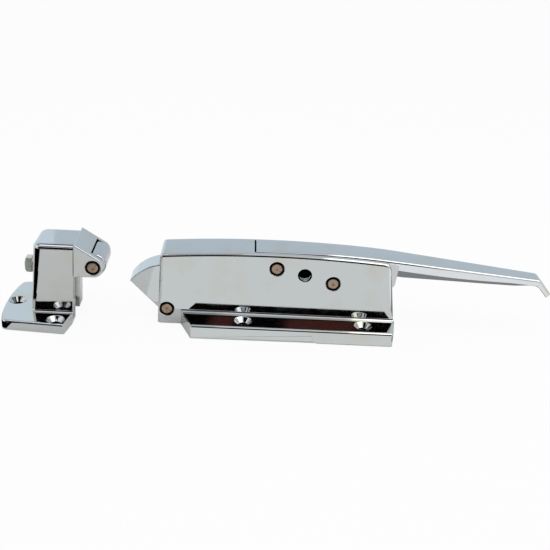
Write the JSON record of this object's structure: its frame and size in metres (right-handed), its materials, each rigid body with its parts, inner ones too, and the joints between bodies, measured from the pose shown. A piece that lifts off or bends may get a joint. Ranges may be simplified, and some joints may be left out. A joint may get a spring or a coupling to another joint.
{
  "type": "walk-in door latch and strike",
  "caption": "Surface-mounted walk-in door latch: pivoting bolt worked by a long hooked pull handle, padlock hole, and a height-adjustable roller strike.",
  "frame": {"origin": "centre of the latch's four mounting screws, on the mounting face", "axes": "+X along the latch towards the end of the handle, +Y across it away from the viewer of the picture, +Z off the mounting face"},
  "size_m": [0.4018, 0.0762, 0.061],
  "materials": {
    "chrome": "bright polished chrome plate on a casting",
    "roller_chrome": "chrome plate, lightly satin",
    "rivet_steel": "copper-brown plated steel",
    "zinc_steel": "zinc-plated steel",
    "spring_steel": "oiled spring wire"
  },
  "bodies": {
    "housing": {"housing": "chrome", "bolt_pin": "rivet_steel", "bolt_washers": "zinc_steel", "bolt_spring": "spring_steel", "handle_pin": "rivet_steel", "stop_pin": "rivet_steel", "strike_base": "chrome"},
    "handle": {"handle": "chrome", "handle_link_pin": "zinc_steel", "link_spacer_near": "zinc_steel", "link_spacer_far": "zinc_steel"},
    "bolt": {"bolt": "chrome", "bolt_link_pin": "zinc_steel"},
    "link": {"pull_link": "zinc_steel"},
    "strike_head": {"strike_head": "chrome", "roller_pin": "rivet_steel", "adjusting_bolt": "zinc_steel", "adjusting_lock_washer": "zinc_steel", "adjusting_washer": "zinc_steel"},
    "roller": {"strike_roller": "roller_chrome"}
  },
  "joints": [
    {"name": "handle_pull", "type": "hinge", "parent": "housing", "child": "handle", "pos_m": [-0.021, 0, 0.0473], "axis": [0, -1, 0], "range_deg": [0, 23]},
    {"name": "bolt_turn", "type": "hinge", "parent": "housing", "child": "bolt", "pos_m": [-0.0996, 0, 0.0116], "axis": [0, 1, 0], "range_deg": [0, 50.2], "stiffness_Nm_per_rad": 0.5, "springref_deg": -34.38, "deforming": ["bolt_spring"]},
    {"name": "link_swing", "type": "hinge", "parent": "bolt", "child": "link", "pos_m": [-0.10245, 0, 0.02223], "axis": [0, -1, 0], "range_deg": [0, 51.5]},
    {"name": "head_adjust", "type": "slide", "parent": "housing", "child": "strike_head", "axis": [0, 0, 1], "range_m": [-0.008, 0.004]},
    {"name": "roller_spin", "type": "hinge", "parent": "strike_head", "child": "roller", "pos_m": [-0.1517, -0.003, 0.0439], "axis": [0, 1, 0], "continuous": true}
  ],
  "couplings": [
    {"joint": "bolt_turn", "follows": "handle_pull", "ratio": 2.1739},
    {"joint": "link_swing", "follows": "handle_pull", "ratio": 2.227}
  ]
}
